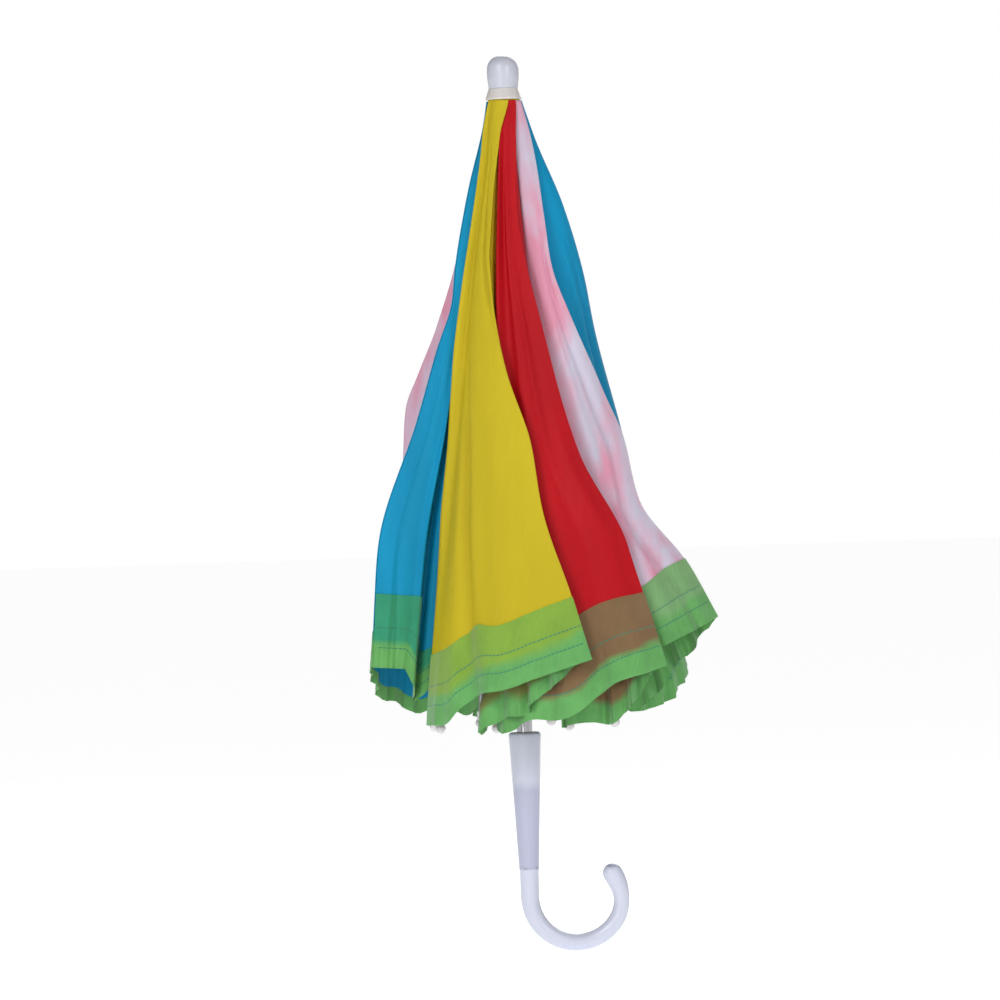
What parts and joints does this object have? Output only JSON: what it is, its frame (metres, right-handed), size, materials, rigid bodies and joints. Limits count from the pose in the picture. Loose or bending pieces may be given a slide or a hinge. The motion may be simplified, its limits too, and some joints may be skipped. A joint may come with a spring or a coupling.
{
  "type": "stick umbrella",
  "caption": "Closed child's stick umbrella with folding ribs and stretchers, panelled canopy with a sheer hem, metal shaft, crook handle and bulb ferrule.",
  "frame": {"origin": "on the shaft's axis at the middle of the grip", "axes": "+Z along the shaft towards the ferrule, +X towards the hook's opening"},
  "size_m": [0.1999, 0.1741, 0.519],
  "materials": {
    "chrome_tube": "bright plated tube",
    "steel_wire": "plain drawn wire",
    "rib_steel": "zinc plated strip",
    "pearl_plastic": "milky translucent gloss",
    "white_plastic": "moulded white",
    "cloth_yellow": "satin woven polyester",
    "cloth_red": "satin woven polyester",
    "cloth_white": "satin woven polyester with pink dye clouds",
    "cloth_blue": "satin woven polyester",
    "hem_green": "sheer woven band",
    "thread_teal": "sewing thread"
  },
  "bodies": {
    "shaft": {"shaft": "chrome_tube", "handle": "pearl_plastic", "ferrule_cap": "pearl_plastic", "canopy_collar": "white_plastic", "canopy_top": "cloth_yellow", "crown": "white_plastic", "crown_wire": "steel_wire", "stop_pin": "chrome_tube"},
    "rib_1": {"rib_1": "rib_steel", "rib_joint_1": "rib_steel", "tip_1": "white_plastic"},
    "rib_2": {"rib_2": "rib_steel", "rib_joint_2": "rib_steel", "tip_2": "white_plastic"},
    "rib_3": {"rib_3": "rib_steel", "rib_joint_3": "rib_steel", "tip_3": "white_plastic"},
    "rib_4": {"rib_4": "rib_steel", "rib_joint_4": "rib_steel", "tip_4": "white_plastic"},
    "rib_5": {"rib_5": "rib_steel", "rib_joint_5": "rib_steel", "tip_5": "white_plastic"},
    "rib_6": {"rib_6": "rib_steel", "rib_joint_6": "rib_steel", "tip_6": "white_plastic"},
    "rib_7": {"rib_7": "rib_steel", "rib_joint_7": "rib_steel", "tip_7": "white_plastic"},
    "rib_8": {"rib_8": "rib_steel", "rib_joint_8": "rib_steel", "tip_8": "white_plastic"},
    "stretcher_1": {"stretcher_1": "rib_steel"},
    "stretcher_2": {"stretcher_2": "rib_steel"},
    "stretcher_3": {"stretcher_3": "rib_steel"},
    "stretcher_4": {"stretcher_4": "rib_steel"},
    "stretcher_5": {"stretcher_5": "rib_steel"},
    "stretcher_6": {"stretcher_6": "rib_steel"},
    "stretcher_7": {"stretcher_7": "rib_steel"},
    "stretcher_8": {"stretcher_8": "rib_steel"},
    "runner": {"runner": "white_plastic", "runner_wire": "steel_wire"},
    "gore_1_a": {"gore_1_a": "cloth_yellow"},
    "gore_1_b": {"gore_1_b": "cloth_yellow"},
    "gore_2_a": {"gore_2_a": "cloth_red"},
    "gore_2_b": {"gore_2_b": "cloth_red"},
    "gore_3_a": {"gore_3_a": "cloth_white"},
    "gore_3_b": {"gore_3_b": "cloth_white"},
    "gore_4_a": {"gore_4_a": "cloth_blue"},
    "gore_4_b": {"gore_4_b": "cloth_blue"},
    "gore_5_a": {"gore_5_a": "cloth_yellow"},
    "gore_5_b": {"gore_5_b": "cloth_yellow"},
    "gore_6_a": {"gore_6_a": "cloth_red"},
    "gore_6_b": {"gore_6_b": "cloth_red"},
    "gore_7_a": {"gore_7_a": "cloth_white"},
    "gore_7_b": {"gore_7_b": "cloth_white"},
    "gore_8_a": {"gore_8_a": "cloth_blue"},
    "gore_8_b": {"gore_8_b": "cloth_blue"},
    "bottom_catch": {"bottom_catch": "steel_wire"},
    "top_catch": {"top_catch": "steel_wire"}
  },
  "joints": [
    {"name": "canopy_fold", "type": "hinge", "parent": "shaft", "child": "rib_1", "pos_m": [-0.00574, -0.00305, 0.4], "axis": [-0.4695, 0.8829, 0], "range_deg": [0, 50]},
    {"name": "rib_2_fold", "type": "hinge", "parent": "shaft", "child": "rib_2", "pos_m": [-0.0019, -0.00622, 0.4], "axis": [-0.9563, 0.2924, 0], "range_deg": [0, 50]},
    {"name": "rib_3_fold", "type": "hinge", "parent": "shaft", "child": "rib_3", "pos_m": [0.00305, -0.00574, 0.4], "axis": [-0.8829, -0.4695, 0], "range_deg": [0, 50]},
    {"name": "rib_4_fold", "type": "hinge", "parent": "shaft", "child": "rib_4", "pos_m": [0.00622, -0.0019, 0.4], "axis": [-0.2924, -0.9563, 0], "range_deg": [0, 50]},
    {"name": "rib_5_fold", "type": "hinge", "parent": "shaft", "child": "rib_5", "pos_m": [0.00574, 0.00305, 0.4], "axis": [0.4695, -0.8829, 0], "range_deg": [0, 50]},
    {"name": "rib_6_fold", "type": "hinge", "parent": "shaft", "child": "rib_6", "pos_m": [0.0019, 0.00622, 0.4], "axis": [0.9563, -0.2924, 0], "range_deg": [0, 50]},
    {"name": "rib_7_fold", "type": "hinge", "parent": "shaft", "child": "rib_7", "pos_m": [-0.00305, 0.00574, 0.4], "axis": [0.8829, 0.4695, 0], "range_deg": [0, 50]},
    {"name": "rib_8_fold", "type": "hinge", "parent": "shaft", "child": "rib_8", "pos_m": [-0.00622, 0.0019, 0.4], "axis": [0.2924, 0.9563, 0], "range_deg": [0, 50]},
    {"name": "stretcher_1_fold", "type": "hinge", "parent": "rib_1", "child": "stretcher_1", "pos_m": [-0.02467, -0.01312, 0.24144], "axis": [-0.4695, 0.8829, 0], "range_deg": [-100, 0]},
    {"name": "stretcher_2_fold", "type": "hinge", "parent": "rib_2", "child": "stretcher_2", "pos_m": [-0.00817, -0.02672, 0.24144], "axis": [-0.9563, 0.2924, 0], "range_deg": [-100, 0]},
    {"name": "stretcher_3_fold", "type": "hinge", "parent": "rib_3", "child": "stretcher_3", "pos_m": [0.01312, -0.02467, 0.24144], "axis": [-0.8829, -0.4695, 0], "range_deg": [-100, 0]},
    {"name": "stretcher_4_fold", "type": "hinge", "parent": "rib_4", "child": "stretcher_4", "pos_m": [0.02672, -0.00817, 0.24144], "axis": [-0.2924, -0.9563, 0], "range_deg": [-100, 0]},
    {"name": "stretcher_5_fold", "type": "hinge", "parent": "rib_5", "child": "stretcher_5", "pos_m": [0.02467, 0.01312, 0.24144], "axis": [0.4695, -0.8829, 0], "range_deg": [-100, 0]},
    {"name": "stretcher_6_fold", "type": "hinge", "parent": "rib_6", "child": "stretcher_6", "pos_m": [0.00817, 0.02672, 0.24144], "axis": [0.9563, -0.2924, 0], "range_deg": [-100, 0]},
    {"name": "stretcher_7_fold", "type": "hinge", "parent": "rib_7", "child": "stretcher_7", "pos_m": [-0.01312, 0.02467, 0.24144], "axis": [0.8829, 0.4695, 0], "range_deg": [-100, 0]},
    {"name": "stretcher_8_fold", "type": "hinge", "parent": "rib_8", "child": "stretcher_8", "pos_m": [-0.02672, 0.00817, 0.24144], "axis": [0.2924, 0.9563, 0], "range_deg": [-100, 0]},
    {"name": "runner_slide", "type": "hinge", "parent": "stretcher_1", "child": "runner", "pos_m": [-0.00574, -0.00305, 0.08289], "axis": [-0.4695, 0.8829, 0], "range_deg": [0, 50]},
    {"name": "gore_1_a_stretch", "type": "hinge", "parent": "rib_1", "child": "gore_1_a", "pos_m": [-0.00574, -0.00305, 0.4], "axis": [-0.7996, 0.5393, -0.2642], "range_deg": [0, 3.15], "deforming": ["gore_1_a"]},
    {"name": "gore_1_b_stretch", "type": "hinge", "parent": "rib_2", "child": "gore_1_b", "pos_m": [-0.0019, -0.00622, 0.4], "axis": [0.5172, 0.7552, 0.4026], "range_deg": [0, 36.78], "deforming": ["gore_1_b"]},
    {"name": "gore_2_a_stretch", "type": "hinge", "parent": "rib_2", "child": "gore_2_a", "pos_m": [-0.0019, -0.00622, 0.4], "axis": [0.5792, -0.7589, 0.2977], "range_deg": [0, 3.35], "deforming": ["gore_2_a"]},
    {"name": "gore_2_b_stretch", "type": "hinge", "parent": "rib_3", "child": "gore_2_b", "pos_m": [0.00305, -0.00574, 0.4], "axis": [-0.0178, 0.9029, 0.4295], "range_deg": [0, 35.26], "deforming": ["gore_2_b"]},
    {"name": "gore_3_a_stretch", "type": "hinge", "parent": "rib_3", "child": "gore_3_a", "pos_m": [0.00305, -0.00574, 0.4], "axis": [0.9128, 0.2441, 0.3273], "range_deg": [0, 8.73], "deforming": ["gore_3_a"]},
    {"name": "gore_3_b_stretch", "type": "hinge", "parent": "rib_4", "child": "gore_3_b", "pos_m": [0.00622, -0.0019, 0.4], "axis": [-0.5217, 0.7306, 0.4405], "range_deg": [0, 34.94], "deforming": ["gore_3_b"]},
    {"name": "gore_4_a_stretch", "type": "hinge", "parent": "rib_4", "child": "gore_4_a", "pos_m": [0.00622, -0.0019, 0.4], "axis": [0.8082, 0.5701, -0.1475], "range_deg": [0, 12.91], "deforming": ["gore_4_a"]},
    {"name": "gore_4_b_stretch", "type": "hinge", "parent": "rib_5", "child": "gore_4_b", "pos_m": [0.00574, 0.00305, 0.4], "axis": [-0.9011, 0.1712, 0.3983], "range_deg": [0, 27.16], "deforming": ["gore_4_b"]},
    {"name": "gore_5_a_stretch", "type": "hinge", "parent": "rib_5", "child": "gore_5_a", "pos_m": [0.00574, 0.00305, 0.4], "axis": [0.317, 0.9006, -0.2975], "range_deg": [0, 20.67], "deforming": ["gore_5_a"]},
    {"name": "gore_5_b_stretch", "type": "hinge", "parent": "rib_6", "child": "gore_5_b", "pos_m": [0.0019, 0.00622, 0.4], "axis": [-0.8329, -0.4362, 0.3406], "range_deg": [0, 19.06], "deforming": ["gore_5_b"]},
    {"name": "gore_6_a_stretch", "type": "hinge", "parent": "rib_6", "child": "gore_6_a", "pos_m": [0.0019, 0.00622, 0.4], "axis": [-0.3167, 0.8622, -0.3954], "range_deg": [0, 17.76], "deforming": ["gore_6_a"]},
    {"name": "gore_6_b_stretch", "type": "hinge", "parent": "rib_7", "child": "gore_6_b", "pos_m": [-0.00305, 0.00574, 0.4], "axis": [-0.0995, -0.9425, 0.319], "range_deg": [0, 20.36], "deforming": ["gore_6_b"]},
    {"name": "gore_7_a_stretch", "type": "hinge", "parent": "rib_7", "child": "gore_7_a", "pos_m": [-0.00305, 0.00574, 0.4], "axis": [-0.9395, 0.2545, -0.2294], "range_deg": [0, 15.84], "deforming": ["gore_7_a"]},
    {"name": "gore_7_b_stretch", "type": "hinge", "parent": "rib_8", "child": "gore_7_b", "pos_m": [-0.00622, 0.0019, 0.4], "axis": [0.4965, -0.7796, 0.3817], "range_deg": [0, 23.84], "deforming": ["gore_7_b"]},
    {"name": "gore_8_a_stretch", "type": "hinge", "parent": "rib_8", "child": "gore_8_a", "pos_m": [-0.00622, 0.0019, 0.4], "axis": [-0.8547, -0.4893, -0.1735], "range_deg": [0, 12.47], "deforming": ["gore_8_a"]},
    {"name": "gore_8_b_stretch", "type": "hinge", "parent": "rib_1", "child": "gore_8_b", "pos_m": [-0.00574, -0.00305, 0.4], "axis": [0.9031, -0.1272, 0.4103], "range_deg": [0, 26.69], "deforming": ["gore_8_b"]},
    {"name": "bottom_catch_press", "type": "hinge", "parent": "shaft", "child": "bottom_catch", "pos_m": [0.0022, 0, 0.04578], "axis": [0, -1, 0], "range_deg": [0, 8], "stiffness_Nm_per_rad": 0.03},
    {"name": "top_catch_press", "type": "hinge", "parent": "shaft", "child": "top_catch", "pos_m": [0.0022, 0, 0.18771], "axis": [0, -1, 0], "range_deg": [0, 8], "stiffness_Nm_per_rad": 0.03}
  ],
  "couplings": [
    {"joint": "rib_2_fold", "follows": "canopy_fold", "ratio": 1},
    {"joint": "rib_3_fold", "follows": "canopy_fold", "ratio": 1},
    {"joint": "rib_4_fold", "follows": "canopy_fold", "ratio": 1},
    {"joint": "rib_5_fold", "follows": "canopy_fold", "ratio": 1},
    {"joint": "rib_6_fold", "follows": "canopy_fold", "ratio": 1},
    {"joint": "rib_7_fold", "follows": "canopy_fold", "ratio": 1},
    {"joint": "rib_8_fold", "follows": "canopy_fold", "ratio": 1},
    {"joint": "stretcher_1_fold", "follows": "canopy_fold", "ratio": -2},
    {"joint": "stretcher_2_fold", "follows": "canopy_fold", "ratio": -2},
    {"joint": "stretcher_3_fold", "follows": "canopy_fold", "ratio": -2},
    {"joint": "stretcher_4_fold", "follows": "canopy_fold", "ratio": -2},
    {"joint": "stretcher_5_fold", "follows": "canopy_fold", "ratio": -2},
    {"joint": "stretcher_6_fold", "follows": "canopy_fold", "ratio": -2},
    {"joint": "stretcher_7_fold", "follows": "canopy_fold", "ratio": -2},
    {"joint": "stretcher_8_fold", "follows": "canopy_fold", "ratio": -2},
    {"joint": "runner_slide", "follows": "canopy_fold", "ratio": 1},
    {"joint": "gore_1_a_stretch", "follows": "canopy_fold", "ratio": 0.063028},
    {"joint": "gore_1_b_stretch", "follows": "canopy_fold", "ratio": 0.73564},
    {"joint": "gore_2_a_stretch", "follows": "canopy_fold", "ratio": 0.067039},
    {"joint": "gore_2_b_stretch", "follows": "canopy_fold", "ratio": 0.70513},
    {"joint": "gore_3_a_stretch", "follows": "canopy_fold", "ratio": 0.17456},
    {"joint": "gore_3_b_stretch", "follows": "canopy_fold", "ratio": 0.69871},
    {"joint": "gore_4_a_stretch", "follows": "canopy_fold", "ratio": 0.25829},
    {"joint": "gore_4_b_stretch", "follows": "canopy_fold", "ratio": 0.54319},
    {"joint": "gore_5_a_stretch", "follows": "canopy_fold", "ratio": 0.4134},
    {"joint": "gore_5_b_stretch", "follows": "canopy_fold", "ratio": 0.38113},
    {"joint": "gore_6_a_stretch", "follows": "canopy_fold", "ratio": 0.35525},
    {"joint": "gore_6_b_stretch", "follows": "canopy_fold", "ratio": 0.40728},
    {"joint": "gore_7_a_stretch", "follows": "canopy_fold", "ratio": 0.31689},
    {"joint": "gore_7_b_stretch", "follows": "canopy_fold", "ratio": 0.47676},
    {"joint": "gore_8_a_stretch", "follows": "canopy_fold", "ratio": 0.24932},
    {"joint": "gore_8_b_stretch", "follows": "canopy_fold", "ratio": 0.53386}
  ]
}
